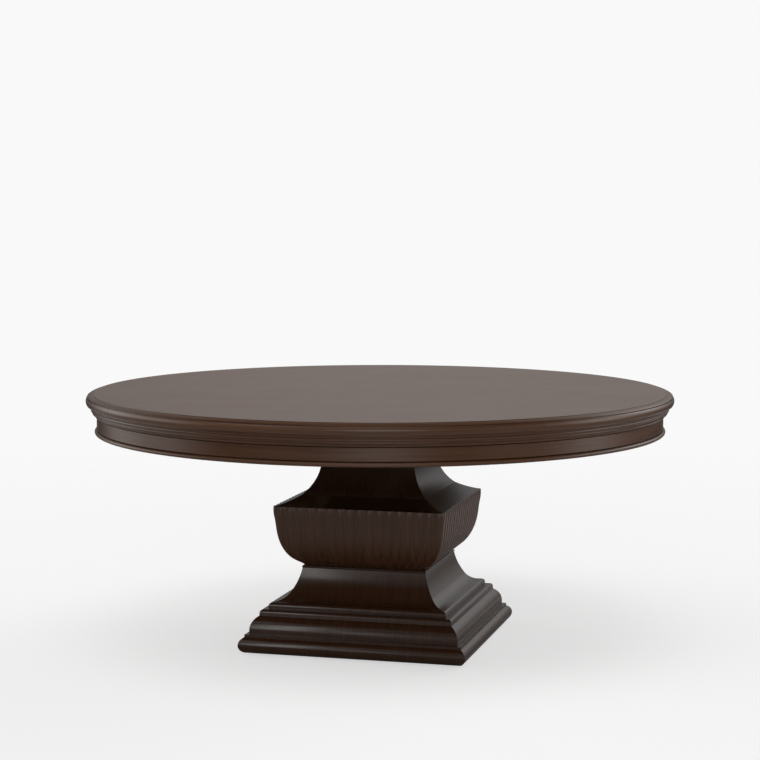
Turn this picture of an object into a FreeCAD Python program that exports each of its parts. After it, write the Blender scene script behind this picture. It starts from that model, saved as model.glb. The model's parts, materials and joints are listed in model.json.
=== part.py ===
import FreeCAD, Part
import math
import os

import Sketcher
from FreeCAD import Placement, Rotation, Vector

# Round pedestal table. Millimetres, +Z up, origin on the floor under the middle of the table.
# The front of the square pedestal faces -Y and its right side faces +X.

document = FreeCAD.newDocument("pedestal_table")
sheet = document.addObject("Spreadsheet::Sheet", "sizes")

UP = Vector(0, 0, 1)
FACES = {"right": 0, "back": 90, "left": 180, "front": 270}
QUARTERS = (1, 2, 3, 4)

SIZES = {
    # overall
    "table_height": 768,
    "top_radius": 889,
    # heights of the pedestal's joints above the floor
    "plinth_base": 5,
    "plinth_top": 61,
    "moulding_top": 131,
    "flare_top": 244.5,
    "collar_top": 251.5,
    "rim_level": 437.5,
    "neck_top": 678,
    # the mitred boards are sawn this much longer than their widest corner
    "board_spare": 40,
    # the wedges sawn off at the mitres start just clear of the table's axis
    "mitre_start": 1,
    # the round top
    "top_thickness": 32,
    "panel_radius": 840,
    "ring_inner": 835,
    "under_height": 33,
    "apron_base": 660.3,
    "bead_base": 648,
    # glue blocks behind the apron
    "block_depth": 24,
    "block_height": 36,
    "block_count": 16,
    "block_sweep": 4,
    # bearers and battens that hold the panel flat
    "batten_width": 70,
    "batten_height": 34,
    "bearer_offset": 180,
    "bearer_length": 1520,
    "wing_length": 580,
    # top plate, its bolts and their inserts
    "plate_width": 430,
    "bolt_inner": 60,
    "bolt_outer": 180,
    "bolt_radius": 4,
    "bolt_hole_radius": 4.5,
    "bolt_length": 44,
    "bolt_head_radius": 8.5,
    "bolt_head_height": 2.5,
    "bolt_socket": 5,
    "bolt_socket_depth": 1.8,
    "insert_radius": 6,
    "insert_length": 22,
    # screws from the battens into the panel
    "screw_radius": 2.25,
    "screw_length": 50,
    "screw_head_radius": 4.5,
    "screw_head_height": 3,
    "screw_first": 300,
    "screw_step": 200,
    # reeded bowl
    "reed_roundness": 0.97,
    # collar board
    "collar_width": 383,
    "collar_nose": 3.4,
    "boss_width": 300,
    "boss_height": 12,
    # inside the plinth
    "base_board_width": 540,
    "base_board_thickness": 25,
    "corner_block_width": 70,
    "corner_block_base": 14,
    # levelling feet
    "foot_spacing": 450,
    "pad_radius": 20,
    "pad_rim": 4,
    "pad_height": 6.5,
    "pad_hub_radius": 8,
    "pad_slope": 1.5,
    "pivot_radius": 3,
    "pivot_depth": 4,
    "foot_clearance": 0.05,
    "stem_radius": 3.95,
    "stem_top": 50,
    "stem_hex": 13,
    "stem_hex_top": 10.5,
    "stem_hole_radius": 4.5,
}

# Heights that follow from the ones above.
LEVELS = {
    "top_underside": "=table_height - top_thickness",
    "apron_top": "=top_underside - under_height",
    "apron_shoulder": "=apron_top - 3.4",
    "plate_top": "=top_underside - batten_height",
    "plate_thickness": "=plate_top - neck_top",
    "corner_block_top": "=plinth_top - base_board_thickness",
}

# Outlines of the mouldings, seen in section, taken round with the wood on the left hand.
# A corner is (out, up) or (out, up, bend): out and up are measured from the datum named with the
# outline, and a word stands for that size itself. Bend is the radius of the arc that leaves the
# corner: plus for a round, minus for a hollow.
OUTLINES = {
    "top_edge": ("top_radius", "top_underside", [
        ("panel_radius", 0),
        (-3.5, 0, 18.72),
        (-3.5, 21.8),
        (-6.5, 22.2),
        (-6.5, 24.2),
        (-4.5, 24.6, 28),
        (-22, 30.5),
        (-22, 32),
        ("panel_radius", 32),
    ]),
    "under": ("top_radius", "apron_top", [
        ("ring_inner", 0),
        (-27.5, 0),
        (-27.5, 0.8, -9),
        (-19.5, 8.5),
        (-19.5, 13.5, 5.5),
        (-16.5, 23, -6),
        (-12.5, 28.5),
        (-12.5, 33),
        ("ring_inner", 33),
    ]),
    "apron": ("top_radius", "apron_base", [
        ("ring_inner", 0),
        (-35, 0),
        (-32.1, 2.7),
        (-32.1, "apron_shoulder"),
        (-36, "apron_top"),
        ("ring_inner", "apron_top"),
    ]),
    "bead": ("top_radius", "bead_base", [
        ("ring_inner", 0),
        (-30.6, 0, 6.3),
        (-30.6, 12.3),
        ("ring_inner", 12.3),
    ]),
    "neck": ("", "rim_level", [
        (205, 0),
        (257.4, 0, -238),
        (191.2, 28.5, -140),
        (143, 134.5),
        (143, "neck_top"),
        (118, "neck_top"),
        (118, 62.5),
    ]),
    "flare": ("", "moulding_top", [
        (236, 0),
        (271.8, 0),
        (271.8, 8, 10),
        (262, 18, -57.3),
        (214.3, 50, -197),
        (190, "flare_top"),
        (164, "flare_top"),
        (164, 74),
    ]),
    "moulding": ("", "plinth_top", [
        (245, 0),
        (317.5, 0),
        (317.5, 11.3, 46.5),
        (293.5, 52),
        (293, 60.5, 9.5),
        (283.5, 70),
        (245, 70),
    ]),
    "plinth": ("", "plinth_base", [
        (270, 0),
        (320, 0, 25),
        (329, 48.3),
        (329, 56),
        (270, 56),
    ]),
}

# Cross-sections of the reeded bowl, from its foot to its rim: height, outer and inner half width.
BOWL_SECTIONS = [
    (251.5, 183.5, 156),
    (264, 198.6, 172),
    (278, 216.3, 189),
    (295, 229.3, 202),
    (318, 240.4, 213),
    (355, 250, 222),
    (396, 255, 227),
    (437.5, 258.2, 230),
]
REEDS = 17

# A cut that takes out less than this, in cubic millimetres, has missed the wood.
LEAST_CUT = 1
# An edge that climbs less than this is level.
LEVEL_RISE = 0.1
# Each arm of a bearer and each wing batten is held by this many screws.
SCREWS_IN_ROW = 3


def fill_sheet():
    """Writes every driving size into the sheet under its own name."""
    rows = dict(SIZES)
    rows.update(LEVELS)
    for name, (_, _, corners) in OUTLINES.items():
        for number, corner in enumerate(corners, 1):
            for word, value in zip(("out", "up", "bend"), corner):
                if not isinstance(value, str):
                    rows[f"{name}_{word}_{number}"] = value
    for number, section in enumerate(BOWL_SECTIONS, 1):
        for word, value in zip(("level", "outer", "inner"), section):
            rows[f"bowl_{word}_{number}"] = value
    for row, (alias, value) in enumerate(rows.items(), 1):
        sheet.set(f"A{row}", alias)
        sheet.set(f"B{row}", str(value))
        sheet.setAlias(f"B{row}", alias)
    document.recompute()


def size(expression):
    """The value of an expression in the sheet's words."""
    value = sheet.evalExpression(expression)
    return float(getattr(value, "Value", value))


def new_body(label, turn=0):
    """An empty body, turned about the table's axis by so many degrees."""
    body = document.addObject("PartDesign::Body", label)
    body.Label = label
    body.Placement = Placement(Vector(0, 0, 0), Rotation(UP, turn))
    return body


def new_sketch(body, name, plane, height=None):
    """A sketch on one of the body's origin planes, or parallel to it at a height."""
    sketch = body.newObject("Sketcher::SketchObject", name)
    origin_plane = next(f for f in body.Origin.OriginFeatures if f.Role == plane)
    sketch.AttachmentSupport = (origin_plane, [""])
    sketch.MapMode = "FlatFace"
    if height:
        sketch.setExpression("AttachmentOffset.Base.z", height)
    return sketch


def constrain(sketch, kind, *values, expression=None):
    """Adds a constraint to the sketch and ties it to the sheet."""
    index = sketch.addConstraint(Sketcher.Constraint(kind, *values))
    if expression:
        sketch.setExpression(f"Constraints[{index}]", expression)


def pin_point(sketch, edge, end, across, up):
    """Ties a point of an edge to the sketch's origin by two expressions, where "0" is on the axis."""
    for kind, word, axis in (("DistanceX", across, -2), ("DistanceY", up, -1)):
        if word == "0":
            constrain(sketch, "PointOnObject", edge, end, axis)
        else:
            constrain(sketch, kind, -1, 1, edge, end, size(word), expression=word)


def arc_between(start, finish, bend):
    """The arc of radius |bend| from start to finish, its centre on the left where bend is plus."""
    chord = finish - start
    side = math.copysign(1, bend)
    reach = math.sqrt(bend**2 - (chord.Length / 2) ** 2)
    left = Vector(-chord.y, chord.x, 0).normalize()
    centre = (start + finish) / 2 + left * (reach * side)
    first, last = (start, finish) if bend > 0 else (finish, start)
    angles = [math.atan2(point.y - centre.y, point.x - centre.x) for point in (first, last)]
    return Part.ArcOfCircle(Part.Circle(centre, UP, abs(bend)), *angles)


def closed_outline(sketch, corners):
    """Draws a closed outline. A corner is (across, up) or (across, up, bend), as expressions."""
    points = [Vector(size(corner[0]), size(corner[1]), 0) for corner in corners]
    edges = []
    for number, corner in enumerate(corners):
        start, finish = points[number], points[(number + 1) % len(points)]
        bend = size(corner[2]) if len(corner) > 2 else 0
        if bend:
            edge = sketch.addGeometry(arc_between(start, finish, bend))
            radius = corner[2] if bend > 0 else f"-({corner[2]})"
            constrain(sketch, "Radius", edge, abs(bend), expression=radius)
        else:
            edge = sketch.addGeometry(Part.LineSegment(start, finish))
        # a hollow is drawn backwards, so its two ends change places
        edges.append((edge, 2, 1) if bend < 0 else (edge, 1, 2))
    for number, (edge, start_end, _) in enumerate(edges):
        last_edge, _, last_end = edges[number - 1]
        constrain(sketch, "Coincident", last_edge, last_end, edge, start_end)
        pin_point(sketch, edge, start_end, corners[number][0], corners[number][1])


def moulding_corners(name):
    """The corners of a named outline, as expressions in the sheet's words."""
    datum_out, datum_up, corners = OUTLINES[name]
    result = []
    for number, corner in enumerate(corners, 1):
        words = []
        for word, datum, value in zip(("out", "up"), (datum_out, datum_up), corner):
            cell = f"sizes.{name}_{word}_{number}"
            if isinstance(value, str):
                cell = f"sizes.{value}"
            elif datum:
                cell = f"sizes.{datum} + {cell}"
            words.append(cell)
        if len(corner) > 2:
            words.append(f"sizes.{name}_bend_{number}")
        result.append(words)
    return result


def rectangle(low_x, low_y, high_x, high_y):
    """The corners of an upright rectangle."""
    return [(low_x, low_y), (high_x, low_y), (high_x, high_y), (low_x, high_y)]


def hexagon(centre_x, centre_y, across_flats):
    """The corners of a hexagon, turned so that no corner is level with its centre."""
    reach = f"({across_flats}) / 2 / cos(30)"
    return [
        (f"{centre_x} + {reach} * cos({angle})", f"{centre_y} + {reach} * sin({angle})")
        for angle in range(15, 375, 60)
    ]


def circles(sketch, centres, radius):
    """Draws a circle of one radius round each centre."""
    for across, up in centres:
        circle = Part.Circle(Vector(size(across), size(up), 0), UP, size(radius))
        edge = sketch.addGeometry(circle)
        constrain(sketch, "Radius", edge, size(radius), expression=radius)
        pin_point(sketch, edge, 3, across, up)


def pad(body, sketch, length, both_ways=False):
    """Raises the sketch by a length, or by half of it on each side."""
    feature = body.newObject("PartDesign::Pad", sketch.Name + "_pad")
    feature.Profile = sketch
    feature.setExpression("Length", length)
    if both_ways:
        feature.SideType = "Symmetric"
    document.recompute()
    return feature


def pocket(body, sketch, depth):
    """Cuts the sketch upwards into the body and makes sure that it cut something."""
    before = body.Shape.Volume
    feature = body.newObject("PartDesign::Pocket", sketch.Name + "_pocket")
    feature.Profile = sketch
    feature.setExpression("Length", depth)
    feature.Reversed = True
    document.recompute()
    if before - body.Shape.Volume < LEAST_CUT:
        raise RuntimeError(f"{feature.Label} removed nothing from {body.Label}")


def padded_circles(body, name, level, centres, radius, length):
    """A set of upright rods that start at one level."""
    sketch = new_sketch(body, name, "XY_Plane", level)
    circles(sketch, centres, radius)
    pad(body, sketch, length)


def drilled(body, name, level, centres, radius, depth):
    """Drills a set of holes upwards from one level."""
    sketch = new_sketch(body, name, "XY_Plane", level)
    circles(sketch, centres, radius)
    pocket(body, sketch, depth)


def ring_quarter(label, outline, turn):
    """A quarter of a moulding that runs round the table's axis."""
    body = new_body(label, turn)
    sketch = new_sketch(body, label + "_section", "XZ_Plane")
    closed_outline(sketch, moulding_corners(outline))
    ring = body.newObject("PartDesign::Revolution", label + "_ring")
    ring.Profile = sketch
    ring.ReferenceAxis = (sketch, ["V_Axis"])
    ring.Angle = 90


def mitred_board(label, outline, turn):
    """One side of the square pedestal: a moulded board cut to 45 degrees at both ends."""
    body = new_body(label, turn)
    section = new_sketch(body, label + "_section", "XZ_Plane")
    corners = moulding_corners(outline)
    closed_outline(section, corners)
    widest = max((corner[0] for corner in corners), key=size)
    pad(body, section, f"2 * ({widest} + sizes.board_spare)", both_ways=True)
    before = body.Shape.Volume
    waste = new_sketch(body, label + "_mitres", "XY_Plane")
    near, far = "sizes.mitre_start", f"2 * {widest}"
    closed_outline(waste, [(near, near), (far, far), (near, far)])
    closed_outline(waste, [(near, f"-{near}"), (near, f"-{far}"), (far, f"-{far}")])
    cut = body.newObject("PartDesign::Pocket", label + "_mitre_cut")
    cut.Profile = waste
    cut.Type = "ThroughAll"
    cut.SideType = "Symmetric"
    document.recompute()
    if before - body.Shape.Volume < LEAST_CUT:
        raise RuntimeError(f"{label} was not mitred")


def reeded_section(body, label, number):
    """One level of a bowl panel: a mitred strip whose outer side is a row of convex reeds."""
    sketch = new_sketch(body, f"{label}_level_{number}", "XY_Plane", f"sizes.bowl_level_{number}")
    outer = f"sizes.bowl_outer_{number}"
    inner = f"sizes.bowl_inner_{number}"
    bend = f"2 * {outer} / {REEDS} * sizes.reed_roundness"
    corners = [
        (outer, f"{outer} * {2 * reed - REEDS} / {REEDS}", bend) for reed in range(REEDS)
    ]
    corners += [(outer, outer), (inner, inner), (inner, f"-{inner}")]
    closed_outline(sketch, corners)
    return sketch


def bowl_panel(label, turn):
    """One side of the bowl. The reeds taper with the panel from the rim to the foot."""
    body = new_body(label, turn)
    sections = [
        reeded_section(body, label, number) for number in range(1, len(BOWL_SECTIONS) + 1)
    ]
    loft = body.newObject("PartDesign::AdditiveLoft", label + "_loft")
    loft.Profile = sections[0]
    loft.Sections = sections[1:]


def make_pedestal():
    """The four mitred sides of each tier, and the collar board between bowl and flare."""
    for face, turn in FACES.items():
        mitred_board(f"plinth_{face}", "plinth", turn)
        mitred_board(f"base_moulding_{face}", "moulding", turn)
        mitred_board(f"flare_{face}", "flare", turn)
        bowl_panel(f"bowl_{face}", turn)
        mitred_board(f"neck_{face}", "neck", turn)


def make_collar():
    """A thin board with a rounded nose, and a boss that locates the bowl."""
    body = new_body("collar_board")
    half = "sizes.collar_width / 2"
    square = new_sketch(body, "collar_square", "XY_Plane", "sizes.flare_top")
    closed_outline(square, rectangle(f"-{half}", f"-{half}", half, half))
    board = pad(body, square, "sizes.collar_top - sizes.flare_top")
    level_edges = [
        f"Edge{number}"
        for number, edge in enumerate(board.Shape.Edges, 1)
        if edge.BoundBox.ZLength < LEVEL_RISE
    ]
    nose = body.newObject("PartDesign::Fillet", "collar_nose_round")
    nose.Base = (board, level_edges)
    nose.setExpression("Radius", "sizes.collar_nose")
    document.recompute()
    half = "sizes.boss_width / 2"
    boss = new_sketch(body, "collar_boss", "XY_Plane", "sizes.collar_top")
    closed_outline(boss, rectangle(f"-{half}", f"-{half}", half, half))
    pad(body, boss, "sizes.boss_height")


def screw_row(side):
    """How far along one side of the table's middle the screws of a row are."""
    return [
        f"{side} * (sizes.screw_first + {number} * sizes.screw_step)"
        for number in range(SCREWS_IN_ROW)
    ]


def bearer_screws(side):
    """Screw places along one bearer, which leave its middle free for the top plate."""
    middle = f"{side} * sizes.bearer_offset"
    return [(along, middle) for along in screw_row(-1) + screw_row(1)]


def wing_screws(side):
    """Screw places along one wing batten."""
    return [("0", along) for along in screw_row(side)]


def plate_bolts(side):
    """Bolt places along one bearer."""
    reaches = ("-sizes.bolt_outer", "-sizes.bolt_inner", "sizes.bolt_inner", "sizes.bolt_outer")
    return [(reach, f"{side} * sizes.bearer_offset") for reach in reaches]


ALL_SCREWS = [place for side in (-1, 1) for place in bearer_screws(side) + wing_screws(side)]
ALL_BOLTS = [place for side in (-1, 1) for place in plate_bolts(side)]


def make_top():
    """The panel, its moulded edge, and the rings below it."""
    panel = new_body("top_panel")
    padded_circles(
        panel, "panel_disc", "sizes.top_underside", [("0", "0")], "sizes.panel_radius", "sizes.top_thickness"
    )
    pilot_depth = "sizes.screw_length - sizes.batten_height"
    drilled(
        panel, "panel_pilots", "sizes.top_underside", ALL_SCREWS, "sizes.screw_radius", pilot_depth
    )
    for quarter in QUARTERS:
        straight = 90 * quarter
        staggered = straight + 45
        ring_quarter(f"top_edge_{quarter}", "top_edge", staggered)
        ring_quarter(f"under_moulding_{quarter}", "under", straight)
        ring_quarter(f"apron_{quarter}", "apron", staggered)
        ring_quarter(f"apron_bead_{quarter}", "bead", straight)


def make_glue_blocks():
    """Blocks glued into the corner between the panel and the rings below it."""
    body = new_body("glue_blocks")
    sketch = new_sketch(body, "block_section", "XZ_Plane")
    inner = "sizes.ring_inner - sizes.block_depth"
    base = "sizes.top_underside - sizes.block_height"
    closed_outline(sketch, rectangle(inner, base, "sizes.ring_inner", "sizes.top_underside"))
    block = body.newObject("PartDesign::Revolution", "glue_block")
    block.Profile = sketch
    block.ReferenceAxis = (sketch, ["V_Axis"])
    block.setExpression("Angle", "sizes.block_sweep")
    document.recompute()
    ring = body.newObject("PartDesign::PolarPattern", "block_ring")
    ring.Originals = [block]
    ring.Axis = (sketch, ["V_Axis"])
    ring.Angle = 360
    ring.setExpression("Occurrences", "sizes.block_count")
    body.Tip = ring


def make_battens():
    """Two bearers that carry the top on the pedestal, and two wing battens across them."""
    half_width = "sizes.batten_width / 2"
    for name, side in (("bearer_front", -1), ("bearer_back", 1)):
        body = new_body(name)
        sketch = new_sketch(body, name + "_plan", "XY_Plane", "sizes.plate_top")
        middle = f"{side} * sizes.bearer_offset"
        half = "sizes.bearer_length / 2"
        closed_outline(
            sketch, rectangle(f"-{half}", f"{middle} - {half_width}", half, f"{middle} + {half_width}")
        )
        pad(body, sketch, "sizes.batten_height")
        drilled(
            body, name + "_screws", "sizes.plate_top", bearer_screws(side), "sizes.screw_radius",
            "sizes.batten_height",
        )
        drilled(
            body, name + "_inserts", "sizes.plate_top", plate_bolts(side), "sizes.insert_radius",
            "sizes.insert_length",
        )
    near = f"sizes.bearer_offset + {half_width}"
    far = f"{near} + sizes.wing_length"
    for name, low, high, side in (
        ("wing_batten_front", f"-({far})", f"-({near})", -1),
        ("wing_batten_back", near, far, 1),
    ):
        body = new_body(name)
        sketch = new_sketch(body, name + "_plan", "XY_Plane", "sizes.plate_top")
        closed_outline(sketch, rectangle(f"-{half_width}", low, half_width, high))
        pad(body, sketch, "sizes.batten_height")
        drilled(
            body, name + "_screws", "sizes.plate_top", wing_screws(side), "sizes.screw_radius",
            "sizes.batten_height",
        )


def make_batten_screws():
    """Round-headed screws, up through the battens into the panel."""
    body = new_body("batten_screws")
    heads = "sizes.plate_top - sizes.screw_head_height"
    padded_circles(
        body, "screw_heads", heads, ALL_SCREWS, "sizes.screw_head_radius", "sizes.screw_head_height"
    )
    padded_circles(
        body, "screw_shanks", "sizes.plate_top", ALL_SCREWS, "sizes.screw_radius", "sizes.screw_length"
    )


def make_top_plate():
    """The plate on top of the neck, its furniture bolts, and their inserts in the bearers."""
    plate = new_body("pedestal_top_plate")
    half = "sizes.plate_width / 2"
    sketch = new_sketch(plate, "plate_square", "XY_Plane", "sizes.neck_top")
    closed_outline(sketch, rectangle(f"-{half}", f"-{half}", half, half))
    pad(plate, sketch, "sizes.plate_thickness")
    drilled(
        plate, "plate_holes", "sizes.neck_top", ALL_BOLTS, "sizes.bolt_hole_radius",
        "sizes.plate_thickness",
    )

    bolts = new_body("top_bolts")
    under_head = "sizes.neck_top - sizes.bolt_head_height"
    padded_circles(
        bolts, "bolt_heads", under_head, ALL_BOLTS, "sizes.bolt_head_radius", "sizes.bolt_head_height"
    )
    padded_circles(
        bolts, "bolt_shanks", "sizes.neck_top", ALL_BOLTS, "sizes.bolt_radius", "sizes.bolt_length"
    )
    sockets = new_sketch(bolts, "bolt_sockets", "XY_Plane", under_head)
    for across, up in ALL_BOLTS:
        closed_outline(sockets, hexagon(across, up, "sizes.bolt_socket"))
    pocket(bolts, sockets, "sizes.bolt_socket_depth")

    threaded_tubes("top_inserts", "sizes.plate_top", ALL_BOLTS, "sizes.insert_length")


def threaded_tubes(label, level, centres, length):
    """Threaded inserts, drawn as plain tubes at the thread's nominal size."""
    body = new_body(label)
    sketch = new_sketch(body, label + "_rings", "XY_Plane", level)
    circles(sketch, centres, "sizes.insert_radius")
    circles(sketch, centres, "sizes.bolt_radius")
    pad(body, sketch, length)


def foot_places():
    """Where the feet stand, as pairs of expressions."""
    reach = "sizes.foot_spacing / 2"
    return [(f"{x} * {reach}", f"{y} * {reach}") for x, y in ((1, -1), (1, 1), (-1, 1), (-1, -1))]


def make_plinth_inside():
    """The board that closes the plinth, the blocks in its corners, and their inserts."""
    board = new_body("base_board")
    half = "sizes.base_board_width / 2"
    sketch = new_sketch(board, "base_board_square", "XY_Plane", "sizes.corner_block_top")
    closed_outline(sketch, rectangle(f"-{half}", f"-{half}", half, half))
    pad(board, sketch, "sizes.base_board_thickness")
    drilled(
        board, "base_board_holes", "sizes.corner_block_top", foot_places(), "sizes.stem_hole_radius",
        "sizes.base_board_thickness",
    )

    blocks = new_body("corner_blocks")
    sketch = new_sketch(blocks, "corner_block_squares", "XY_Plane", "sizes.corner_block_base")
    inner = f"({half} - sizes.corner_block_width)"
    spans = ((f"-{half}", f"-{inner}"), (inner, half))
    for low_x, high_x in spans:
        for low_y, high_y in spans:
            closed_outline(sketch, rectangle(low_x, low_y, high_x, high_y))
    depth = "sizes.corner_block_top - sizes.corner_block_base"
    pad(blocks, sketch, depth)
    drilled(
        blocks, "corner_block_holes", "sizes.corner_block_base", foot_places(), "sizes.insert_radius", depth
    )
    threaded_tubes("foot_inserts", "sizes.corner_block_base", foot_places(), depth)


def make_foot_pad(label, place):
    """A round pad with a hub, bored for the pivot at the foot of the stem."""
    body = new_body(label)
    body.Placement = Placement(place, Rotation())
    sketch = new_sketch(body, label + "_section", "XZ_Plane")
    bore = "sizes.pivot_radius + sizes.foot_clearance"
    floor = "sizes.pad_height - sizes.pivot_depth - sizes.foot_clearance"
    closed_outline(sketch, [
        ("0", "0"),
        ("sizes.pad_radius", "0"),
        ("sizes.pad_radius", "sizes.pad_rim - sizes.pad_slope"),
        ("sizes.pad_hub_radius", "sizes.pad_rim"),
        ("sizes.pad_hub_radius", "sizes.pad_height"),
        (bore, "sizes.pad_height"),
        (bore, floor),
        ("0", floor),
    ])
    turned = body.newObject("PartDesign::Revolution", label + "_turned")
    turned.Profile = sketch
    turned.ReferenceAxis = (sketch, ["V_Axis"])
    turned.Angle = 360


def make_foot_stem(label, place):
    """A threaded stem, drawn plain, with a spanner hexagon and a pivot pin below it."""
    body = new_body(label)
    body.Placement = Placement(place, Rotation())
    middle = [("0", "0")]
    pin_foot = "sizes.pad_height - sizes.pivot_depth"
    padded_circles(body, label + "_pin", pin_foot, middle, "sizes.pivot_radius", "sizes.pivot_depth")
    hexagon_plan = new_sketch(body, label + "_hexagon", "XY_Plane", "sizes.pad_height")
    closed_outline(hexagon_plan, hexagon("0", "0", "sizes.stem_hex"))
    pad(body, hexagon_plan, "sizes.stem_hex_top - sizes.pad_height")
    stem_length = "sizes.stem_top - sizes.stem_hex_top"
    padded_circles(
        body, label + "_thread", "sizes.stem_hex_top", middle, "sizes.stem_radius", stem_length
    )


def make_feet():
    """Four levelling feet, numbered anticlockwise from the front right corner."""
    for number, (across, up) in enumerate(foot_places(), 1):
        place = Vector(size(across), size(up), 0)
        make_foot_pad(f"foot_pad_{number}", place)
        make_foot_stem(f"foot_stem_{number}", place)


def check_and_write():
    """Stops on any failed object, then writes each sub-part to its own file."""
    document.recompute()
    for item in document.Objects:
        if "Invalid" in item.State or "Error" in item.State:
            raise RuntimeError(f"{item.Label} is {item.State}")
    bodies = [item for item in document.Objects if item.TypeId == "PartDesign::Body"]
    for body in bodies:
        if body.Shape.isNull() or not body.Shape.isValid() or not body.Shape.Solids:
            raise RuntimeError(f"{body.Label} has no valid shape")
    os.makedirs("parts", exist_ok=True)
    for body in bodies:
        body.Shape.exportStep(os.path.join("parts", body.Label + ".step"))
        print(f"{body.Label}: {len(body.Shape.Solids)} solid(s), {body.Shape.Volume / 1000:.1f} cm3")


fill_sheet()
make_top()
make_glue_blocks()
make_battens()
make_batten_screws()
make_top_plate()
make_pedestal()
make_collar()
make_plinth_inside()
make_feet()
check_and_write()
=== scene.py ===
import json
import math

import bpy
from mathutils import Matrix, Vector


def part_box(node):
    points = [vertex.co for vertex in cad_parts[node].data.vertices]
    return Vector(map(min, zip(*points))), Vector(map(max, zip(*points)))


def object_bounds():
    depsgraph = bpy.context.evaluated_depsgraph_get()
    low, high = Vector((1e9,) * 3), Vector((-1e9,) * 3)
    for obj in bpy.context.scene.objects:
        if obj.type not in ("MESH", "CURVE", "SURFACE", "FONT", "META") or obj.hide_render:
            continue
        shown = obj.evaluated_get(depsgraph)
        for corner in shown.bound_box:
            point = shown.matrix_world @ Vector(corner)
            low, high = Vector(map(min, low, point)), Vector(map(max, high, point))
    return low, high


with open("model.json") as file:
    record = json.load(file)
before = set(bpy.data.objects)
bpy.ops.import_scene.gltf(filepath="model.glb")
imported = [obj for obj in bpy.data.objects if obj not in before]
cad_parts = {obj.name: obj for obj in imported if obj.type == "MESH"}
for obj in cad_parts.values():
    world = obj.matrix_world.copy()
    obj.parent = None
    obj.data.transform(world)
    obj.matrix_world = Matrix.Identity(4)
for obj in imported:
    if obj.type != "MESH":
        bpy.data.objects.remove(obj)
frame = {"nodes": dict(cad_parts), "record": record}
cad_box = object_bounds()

# The looks of a round pedestal table. Metres, +Z up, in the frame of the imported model. The front
# of the square pedestal faces -Y and its right side faces +X.

NODES = frame["nodes"]
SLOTS = {part["node"]: part["material_slot"] for part in frame["record"]["subparts"]}

# The sides of the pedestal, and the turn about +Z from +X to each of them.
TURNS = {"right": 0, "back": 90, "left": 180, "front": 270}
QUARTER_TURN = 90
LOWER_TIERS = ("flare", "base_moulding", "plinth")
TIERS = ("neck", "bowl", *LOWER_TIERS)

# The rings of the top, in quarters, and the turn from +X to one of each ring's joints.
RINGS = {"top_edge": 45, "under_moulding": 0, "apron": 45, "apron_bead": 0}
QUARTERS = (1, 2, 3, 4)

TABLE_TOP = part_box("top_panel")[1].z
TABLE_RADIUS = cad_box[1].x
# The flat of the top ends where the moulding of its edge begins.
MOULDING_WIDTH = 0.022
FLAT_RADIUS = TABLE_RADIUS - MOULDING_WIDTH
FLAT_DEPTH = 0.0002

# The camera: in front of the table and a little to its right, looking down at it.
CAMERA_AZIMUTH = 15
CAMERA_DISTANCE = 6.2252
CAMERA_HEIGHT = 1.3918
CAMERA_PITCH = 5.448
CAMERA_LENS = 97.2
SENSOR_WIDTH = 36.0

# The studio's soft lights: degrees round to the right from the camera, degrees above the
# horizon, and strength. The last one comes up through the gap in the floor.
LIGHTS = (
    (0, 8, 1.6),
    (50, 8, 0.5),
    (90, 8, 2.2),
    (125, 25, 2.2),
    (150, 25, 0.6),
    (180, 8, 0.27),
    (210, 28, 0.3),
    (240, 8, 1.7),
    (270, 8, 1.6),
    (300, 50, 0.95),
    (320, 8, 0.35),
    (0, 75, 2.4),
    (0, -75, 3.0),
)
LIGHT_FOCUS = 20
BACKDROP = 0.947

# Low upright softboxes in front of the pedestal: place along X, width, height and strength. They
# light only its lower tiers.
SOFTBOXES = ((-0.71, 0.17, 0.98, 3.6), (-0.375, 0.15, 0.40, 1.0))
SOFTBOX_PLACE = -1.82
SOFTBOX_LIFT = 0.12
SOFTBOX_TURN = 17

WHITE = (1.0, 1.0, 1.0, 1.0)
FLOOR_WHITE = (0.60, 0.60, 0.60, 1.0)
FLOOR_GLOW = 0.59
FLOOR_DROP = 0.0003
FLOOR_RADIUS = 6.0
FLOOR_SIDES = 96
FLOOR_FADE = (2.2, 5.0)
# Half the width of the square gap in the floor, inside the plinth. It lets light up to the feet.
FLOOR_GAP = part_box("plinth_right")[0].x

# Stains, as linear colours: dark, middle, light, and worn along the edges. The stains of the finished
# parts are lit and shaded copies of one stain, with light and shade painted in: lightest on the top,
# which is lit from above, and darkest on the neck, which is in the shade under the top.
TOP_STAIN_LIT = (
    (0.128, 0.054, 0.0252),
    (0.195, 0.086, 0.040),
    (0.268, 0.124, 0.060),
    (0.27, 0.13, 0.068),
)
EDGE_STAIN_SIDE_LIT = (
    (0.087, 0.036, 0.0168),
    (0.116, 0.050, 0.0233),
    (0.147, 0.065, 0.0312),
    (0.185, 0.087, 0.047),
)
NECK_STAIN_SHADED = (
    (0.025, 0.0100, 0.0046),
    (0.028, 0.0117, 0.0054),
    (0.032, 0.0136, 0.0064),
    (0.06, 0.028, 0.015),
)
BOWL_STAIN_SHADED = (
    (0.062, 0.0252, 0.0117),
    (0.082, 0.0344, 0.0161),
    (0.104, 0.0453, 0.0220),
    (0.14, 0.065, 0.035),
)
BASE_STAIN_SHADED = (
    (0.034, 0.0138, 0.0063),
    (0.045, 0.0189, 0.0088),
    (0.058, 0.0250, 0.0121),
    (0.08, 0.037, 0.020),
)
BARE = (
    (0.30, 0.205, 0.118),
    (0.42, 0.30, 0.18),
    (0.52, 0.385, 0.24),
    (0.56, 0.43, 0.28),
)

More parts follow.
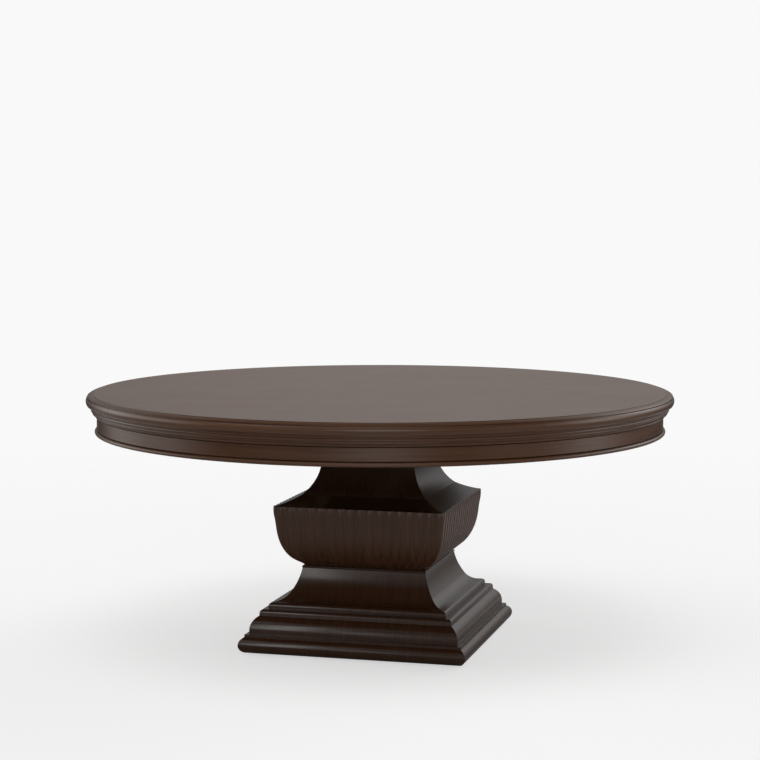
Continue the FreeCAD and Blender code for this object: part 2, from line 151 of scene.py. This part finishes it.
# The grain of wood: changes a metre along it and across it, for its sway, its soft figure, its
# fine streaks and its pores, and how much each of them shows.
SWAY = (1.1, 4.0)
SWAY_REACH = 0.02
FIGURE = (0.8, 26.0)
FIGURE_SHARE = 0.35
STREAKS = (3.0, 170.0)
STREAK_SHARE = 0.65
STREAK_HARDNESS = 0.6
PORES = (60.0, 1500.0)
PORES_OPEN = (0.60, 0.74)
PORE_STRENGTH = 0.5
PORE_DEPTH = 0.25
GRAIN_DEPTH = 0.00001
DARK_TO_MIDDLE = (0.32, 0.50)
MIDDLE_TO_LIGHT = (0.50, 0.68)
# How fast the grain changes through the thickness of an upright board, next to across its width.
THICKNESS_SHARE = 0.1
# How far one board's grain is moved off from the next one's.
BOARD_STEP = (1.37, 0.31, 0.53)
# How the top panel's veneer lies: the turn from +X to its grain, and its number among the boards.
PANEL_HEADING = 12
PANEL_BOARD = 0
COLLAR_BOARD = 3

# The finish of wood: its roughness under satin lacquer, on the reeds, and where it is only sawn.
SATIN = 0.19
REEDED = 0.24
SAWN = 0.62
WOOD_IOR = 1.5
# How far its edges are eased, and how much the normal turns there where it is rubbed lighter.
ARRIS = 0.0008
ARRIS_TURN = (0.985, 0.85)
ARRIS_SAMPLES = 6
# How far into a hollow the painted shade reaches, on the mouldings and between the reeds, and the dark
# colour of that painted shade.
HOLLOW = 0.004
REED_HOLLOW = 0.014
HOLLOW_SHUT = (0.95, 0.35)
HOLLOW_SAMPLES = 12
HOLLOW_SHADE_COLOUR = (0.012, 0.0045, 0.002, 1.0)
HOLLOW_SHADE_STRENGTH = 0.5
HOLLOW_SHADE_DULLNESS = 0.15
# Slow changes over the finish: how many a metre, and what they do to its wear and roughness.
CLOUDS = 7.0
CLOUD_WEAR = (0.35, 0.65, 0.25, 0.75)
CLOUD_ROUGHNESS = (0.2, 0.8, -0.015, 0.015)
STREAK_ROUGHNESS = (0.2, 0.8, -0.02, 0.02)

# Zinc plate and black plastic: changes a metre in their grit, its depth and its roughness.
ZINC = (0.55, 0.55, 0.53, 1.0)
ZINC_GRIT = 900.0
ZINC_DEPTH = 0.00002
ZINC_ROUGHNESS = (0.3, 0.7, 0.28, 0.48)
BLACK = (0.014, 0.014, 0.014, 1.0)
DARK_GREY = (0.026, 0.026, 0.026, 1.0)
PLASTIC_GRIT = 1500.0
PLASTIC_DEPTH = 0.00005
PLASTIC_ROUGHNESS = (0.3, 0.7, 0.5, 0.65)


class Nodes:
    """A node tree, with short calls that add nodes to it."""

    def __init__(self, tree):
        self.tree = tree

    def add(self, kind, feeds=None, output=0, **settings):
        """Adds a node, sets it up, feeds its inputs with values or outputs, and returns an output."""
        node = self.tree.nodes.new("ShaderNode" + kind)
        for name, value in settings.items():
            setattr(node, name, value)
        for name, value in (feeds or {}).items():
            self.feed(node.inputs[name], value)
        return node.outputs[output]

    def feed(self, socket, value):
        """Links an input to another node's output, or gives it a value."""
        if isinstance(value, bpy.types.NodeSocket):
            self.tree.links.new(value, socket)
        else:
            socket.default_value = value

    def math(self, operation, first, second=0.0):
        return self.add("Math", {0: first, 1: second}, operation=operation)

    def dot(self, first, second):
        return self.add("VectorMath", {0: first, 1: second}, output="Value", operation="DOT_PRODUCT")

    def length(self, vector):
        return self.add("VectorMath", {0: vector}, output="Value", operation="LENGTH")

    def times(self, vector, factors):
        return self.add("VectorMath", {0: vector, 1: factors}, operation="MULTIPLY")

    def plus(self, vector, other):
        return self.add("VectorMath", {0: vector, 1: other}, operation="ADD")

    def join(self, x, y, z):
        return self.add("CombineXYZ", {"X": x, "Y": y, "Z": z})

    def split(self, vector):
        node = self.tree.nodes.new("ShaderNodeSeparateXYZ")
        self.feed(node.inputs[0], vector)
        return node.outputs

    def noise(self, vector, detail, roughness=0.5):
        feeds = {"Vector": vector, "Scale": 1.0, "Detail": detail, "Roughness": roughness}
        return self.add("TexNoise", feeds)

    def ramp(self, value, low, high, to_low=0.0, to_high=1.0):
        """Maps low..high onto to_low..to_high, and holds the ends."""
        feeds = {"Value": value, "From Min": low, "From Max": high, "To Min": to_low, "To Max": to_high}
        return self.add("MapRange", feeds)

    def mix(self, factor, first, second):
        """Mixes two colours, or two places."""
        return self.add("Mix", {0: factor, 6: first, 7: second}, output=2, data_type="RGBA")


class Look(Nodes):
    """A material in the making."""

    def __init__(self, name):
        self.material = bpy.data.materials.new(name)
        self.material.use_nodes = True
        super().__init__(self.material.node_tree)
        self.shader = self.tree.nodes["Principled BSDF"]
        self.place = self.add("TexCoord", output="Object")

    def paint(self, name, value):
        """Feeds an input of the material's shader."""
        self.feed(self.shader.inputs[name], value)

    def bump(self, height, depth, under=None):
        """Raises the surface by height times depth, in metres, over a rounded surface under it."""
        feeds = {"Strength": 1.0, "Distance": depth, "Height": height}
        if under:
            feeds["Normal"] = under
        self.paint("Normal", self.add("Bump", feeds))

    def arris(self, reach):
        """The surface rounded over within this reach of its edges, and how near an edge is."""
        rounded = self.add("Bevel", {"Radius": reach}, samples=ARRIS_SAMPLES)
        straight = self.add("NewGeometry", output="Normal")
        return rounded, self.ramp(self.dot(rounded, straight), *ARRIS_TURN)

    def hollow(self, reach):
        """How shut in the surface is by what stands within this reach of it: the mask for painted shade
        in hollows.
        """
        sky = self.add("AmbientOcclusion", {"Distance": reach}, output="AO", samples=HOLLOW_SAMPLES)
        return self.ramp(sky, *HOLLOW_SHUT)

    def turned(self, turn):
        """The place on the object, seen from a frame turned by so many degrees about +Z."""
        feeds = {"Vector": self.place, "Angle": -math.radians(turn)}
        return self.add("VectorRotate", feeds, rotation_type="Z_AXIS")

    def grit(self, changes, detail):
        """Noise with so many changes a metre in every direction."""
        return self.noise(self.times(self.place, (changes, changes, changes)), detail)


# Ways a board's grain runs. Each gives a place whose first number is measured along the grain,
# moved off by a step of its own for each board, so that no two boards look the same.

def board_step(board):
    return tuple(step * board for step in BOARD_STEP)


def level_grain(look, heading, board):
    """Grain that runs level, in one direction."""
    return look.plus(look.turned(heading), board_step(board))


def upright_grain(look, turn, board):
    """Grain that runs up one side of the square pedestal, and follows the side as it curves."""
    out, side, up = look.split(look.turned(turn))
    place = look.join(up, side, look.math("MULTIPLY", out, THICKNESS_SHARE))
    return look.plus(place, board_step(board))


def round_grain(look, turn, board):
    """Grain that runs round the table's axis, in a quarter ring whose middle is at this turn."""
    out, side, up = look.split(look.turned(turn))
    around = look.math("MULTIPLY", look.math("ARCTAN2", side, out), TABLE_RADIUS)
    place = look.join(around, up, look.length(look.join(out, side, 0.0)))
    return look.plus(place, board_step(board))


def on_flat(look):
    """1 on the flat of the top, inside the moulding of its edge, and 0 elsewhere."""
    out, side, up = look.split(look.place)
    within = look.math("LESS_THAN", look.length(look.join(out, side, 0.0)), FLAT_RADIUS)
    return look.math("MULTIPLY", within, look.math("GREATER_THAN", up, TABLE_TOP - FLAT_DEPTH))


def edge_grain(look, turn, board):
    """Round grain, with the panel's own veneer carried over the flat of the ring on top."""
    veneer = level_grain(look, PANEL_HEADING, PANEL_BOARD)
    return look.mix(on_flat(look), round_grain(look, turn, board), veneer)


def tone_colours(look, tones, lit_flat_stain):
    """The colours of a stain, with those of another one on the flat of the top if it is given. The
    stains of the finished parts carry painted light and shade.
    """
    colours = [(*colour, 1.0) for colour in tones]
    if not lit_flat_stain:
        return colours
    flat = on_flat(look)
    return [look.mix(flat, colour, (*other, 1.0)) for colour, other in zip(colours, lit_flat_stain)]


def fibres(look, grain, changes, detail, roughness=0.5):
    """Noise drawn out along the grain, with so many changes a metre along it and across it."""
    along, across = changes
    return look.noise(look.times(grain, (along, across, across)), detail, roughness)


def figure_wood(look, grain, colours):
    """The colour of wood with long soft figure, fine streaks and open pores, and the last two."""
    dark, middle, light = colours
    sway = look.math("SUBTRACT", fibres(look, grain, SWAY, 1.0), 0.5)
    sway = look.math("MULTIPLY", sway, SWAY_REACH)
    grain = look.plus(grain, look.join(0.0, sway, sway))
    figure = fibres(look, grain, FIGURE, 2.0)
    streaks = fibres(look, grain, STREAKS, 3.0, STREAK_HARDNESS)
    pores = look.ramp(fibres(look, grain, PORES, 1.0), *PORES_OPEN)
    tone = look.math("MULTIPLY", figure, FIGURE_SHARE)
    tone = look.math("ADD", tone, look.math("MULTIPLY", streaks, STREAK_SHARE))
    colour = look.mix(look.ramp(tone, *DARK_TO_MIDDLE), dark, middle)
    colour = look.mix(look.ramp(tone, *MIDDLE_TO_LIGHT), colour, light)
    colour = look.mix(look.math("MULTIPLY", pores, PORE_STRENGTH), colour, dark)
    return colour, streaks, pores


def finish_wood(name, lay, tones, gloss, lit_flat_stain=None, shade_reach=HOLLOW):
    """Wood under a thin lacquer: rubbed lighter along its edges, darkened with painted shade in its
    hollows, and in a stain that carries painted light and shade.

    Its lay is the way that its grain runs, the turn to it, and the board's number.
    """
    grain_of, turn, board = lay
    look = Look(name)
    *colours, worn = tone_colours(look, tones, lit_flat_stain)
    colour, streaks, pores = figure_wood(look, grain_of(look, turn, board), colours)
    rounded, edge = look.arris(ARRIS)
    clouds = look.grit(CLOUDS, 3.0)
    rubbed = look.math("MULTIPLY", edge, look.ramp(clouds, *CLOUD_WEAR))
    colour = look.mix(rubbed, colour, worn)
    # Painted shade: darkens the colour where the surface is shut in by what stands near it.
    hollow_shade = look.hollow(shade_reach)
    look.paint("Base Color", look.mix(look.math("MULTIPLY", hollow_shade, HOLLOW_SHADE_STRENGTH), colour, HOLLOW_SHADE_COLOUR))
    rough = look.ramp(clouds, *CLOUD_ROUGHNESS)
    rough = look.math("ADD", rough, look.ramp(streaks, *STREAK_ROUGHNESS))
    rough = look.math("ADD", rough, look.math("MULTIPLY", hollow_shade, HOLLOW_SHADE_DULLNESS))
    look.paint("Roughness", look.math("ADD", rough, gloss))
    look.paint("IOR", WOOD_IOR)
    height = look.math("SUBTRACT", streaks, look.math("MULTIPLY", pores, PORE_DEPTH))
    look.bump(height, GRAIN_DEPTH, rounded)
    return look.material


def steel():
    """Zinc plate, a little mottled."""
    look = Look("zinc_steel")
    grit = look.grit(ZINC_GRIT, 3.0)
    look.paint("Base Color", ZINC)
    look.paint("Metallic", 1.0)
    look.paint("Roughness", look.ramp(grit, *ZINC_ROUGHNESS))
    look.bump(grit, ZINC_DEPTH)
    return look.material


def plastic():
    """Black plastic with the fine grit of its mould."""
    look = Look("pad_plastic")
    grit = look.grit(PLASTIC_GRIT, 2.0)
    look.paint("Base Color", look.mix(grit, BLACK, DARK_GREY))
    look.paint("Roughness", look.ramp(grit, *PLASTIC_ROUGHNESS))
    look.bump(grit, PLASTIC_DEPTH)
    return look.material


def dress(node, material):
    """Gives a CAD node its material."""
    NODES[node].data.materials.clear()
    NODES[node].data.materials.append(material)


def dress_top():
    """The veneered panel, and the solid rings round and under it."""
    veneer = (level_grain, PANEL_HEADING, PANEL_BOARD)
    # Painted light: the panel's stain is the lightest copy, painted lighter for the light from above.
    dress("top_panel", finish_wood("top_veneer", veneer, TOP_STAIN_LIT, SATIN))
    for quarter in QUARTERS:
        for name, start in RINGS.items():
            node = f"{name}_{quarter}"
            grain_of = edge_grain if name == "top_edge" else round_grain
            # Painted light: the flat of the edge ring takes the top's lighter, lit stain.
            lit_flat_stain = TOP_STAIN_LIT if name == "top_edge" else None
            middle = start + QUARTER_TURN * (quarter + 0.5)
            lay = (grain_of, middle, quarter + len(name))
            dress(node, finish_wood(node, lay, EDGE_STAIN_SIDE_LIT, SATIN, lit_flat_stain))


def dress_pedestal():
    """The boards of the square pedestal, tier by tier, and the collar under its bowl."""
    # Painted shade: the neck, the bowl and the lower tiers take darker, shaded copies of the stain.
    shaded_stains = {"neck": NECK_STAIN_SHADED, "bowl": BOWL_STAIN_SHADED}
    for face, turn in TURNS.items():
        for number, name in enumerate(TIERS):
            node = f"{name}_{face}"
            lay = (upright_grain, turn, len(TIERS) * number + turn / QUARTER_TURN)
            gloss = REEDED if name == "bowl" else SATIN
            reach = REED_HOLLOW if name == "bowl" else HOLLOW
            tones = shaded_stains.get(name, BASE_STAIN_SHADED)
            dress(node, finish_wood(node, lay, tones, gloss, shade_reach=reach))
    lay = (level_grain, 0, COLLAR_BOARD)
    # Painted shade: the collar takes the shaded stain of the lower tiers.
    dress("collar_board", finish_wood("collar_board", lay, BASE_STAIN_SHADED, SATIN))


def dress_inside():
    """The bare frame, the steel and the plastic, which show only from below."""
    steel_material = steel()
    plastic_material = plastic()
    for node, slot in SLOTS.items():
        if slot == "frame_wood":
            heading = QUARTER_TURN if "wing" in node else 0
            dress(node, finish_wood(node, (level_grain, heading, len(node)), BARE, SAWN))
        if slot == "zinc_steel":
            dress(node, steel_material)
        if slot == "pad_plastic":
            dress(node, plastic_material)


def heading_of(azimuth, height):
    """The direction at so many degrees to the right of the camera and above the horizon."""
    round_by = math.radians(azimuth + CAMERA_AZIMUTH)
    up_by = math.radians(height)
    level = math.cos(up_by)
    return (math.sin(round_by) * level, -math.cos(round_by) * level, math.sin(up_by))


def make_world():
    """A plain backdrop for the camera, and soft lights all round for the table."""
    world = bpy.data.worlds.new("studio")
    world.use_nodes = True
    bpy.context.scene.world = world
    sky = Nodes(world.node_tree)
    direction = sky.add("TexCoord", output="Generated")
    glow = 0.0
    for azimuth, height, strength in LIGHTS:
        closeness = sky.dot(direction, heading_of(azimuth, height))
        falloff = sky.math("MULTIPLY", sky.math("SUBTRACT", closeness, 1.0), LIGHT_FOCUS)
        glow = sky.math("ADD", glow, sky.math("MULTIPLY", sky.math("EXPONENT", falloff), strength))
    camera_ray = sky.add("LightPath", output="Is Camera Ray")
    background = sky.tree.nodes["Background"]
    background.inputs["Color"].default_value = WHITE
    sky.feed(background.inputs["Strength"], sky.ramp(camera_ray, 0.0, 1.0, glow, BACKDROP))


def make_softboxes():
    """The softboxes, linked to the lower tiers of the pedestal, so that they light nothing else."""
    lit = bpy.data.collections.new("lower_tiers")
    for name in LOWER_TIERS:
        for face in TURNS:
            lit.objects.link(NODES[f"{name}_{face}"])
    for number, (across, width, height, strength) in enumerate(SOFTBOXES):
        data = bpy.data.lights.new(f"softbox_{number}", "AREA")
        data.shape = "RECTANGLE"
        data.size = width
        data.size_y = height
        data.energy = strength * math.pi * width * height
        lamp = bpy.data.objects.new(data.name, data)
        lamp.location = (across, SOFTBOX_PLACE, SOFTBOX_LIFT + height / 2)
        lamp.rotation_euler = (math.radians(90), 0, math.radians(-SOFTBOX_TURN))
        lamp.visible_camera = False
        lamp.light_linking.receiver_collection = lit
        bpy.context.scene.collection.objects.link(lamp)


def floor_material():
    """Pale diffuse white, with a glow that brings it up to the backdrop.

    It fades into the backdrop with distance, and is clear from below and over the gap.
    """
    look = Look("floor")
    look.tree.nodes.remove(look.shader)
    paint = look.add("BsdfDiffuse", {"Color": FLOOR_WHITE})
    camera_ray = look.add("LightPath", output="Is Camera Ray")
    strength = look.math("MULTIPLY", camera_ray, FLOOR_GLOW)
    glow = look.add("Emission", {"Color": WHITE, "Strength": strength})
    lit = look.add("AddShader", {0: paint, 1: glow})
    clear = look.add("BsdfTransparent")
    across, along, up = look.split(look.place)
    aside = look.math("MAXIMUM", look.math("ABSOLUTE", across), look.math("ABSOLUTE", along))
    fade = look.ramp(look.length(look.place), *FLOOR_FADE)
    fade = look.math("MAXIMUM", fade, look.add("NewGeometry", output="Backfacing"))
    fade = look.math("MAXIMUM", fade, look.math("LESS_THAN", aside, FLOOR_GAP))
    surface = look.add("MixShader", {0: fade, 1: lit, 2: clear})
    look.feed(look.tree.nodes["Material Output"].inputs["Surface"], surface)
    return look.material


def make_floor():
    """A round floor, just under the feet."""
    bpy.ops.mesh.primitive_circle_add(
        vertices=FLOOR_SIDES,
        radius=FLOOR_RADIUS,
        fill_type="NGON",
        location=(0, 0, -FLOOR_DROP),
    )
    floor = bpy.context.object
    floor.name = "floor"
    floor.data.materials.append(floor_material())


def make_camera():
    """The camera, which stands at its azimuth round the table and looks at its axis."""
    data = bpy.data.cameras.new("camera")
    data.lens = CAMERA_LENS
    data.sensor_width = SENSOR_WIDTH
    camera = bpy.data.objects.new("camera", data)
    azimuth = math.radians(CAMERA_AZIMUTH)
    camera.location = (
        CAMERA_DISTANCE * math.sin(azimuth),
        -CAMERA_DISTANCE * math.cos(azimuth),
        CAMERA_HEIGHT,
    )
    camera.rotation_euler = (math.radians(90 - CAMERA_PITCH), 0, azimuth)
    bpy.context.scene.collection.objects.link(camera)
    bpy.context.scene.camera = camera


dress_top()
dress_pedestal()
dress_inside()
make_world()
make_softboxes()
make_floor()
make_camera()
bpy.context.scene.view_settings.view_transform = "Standard"
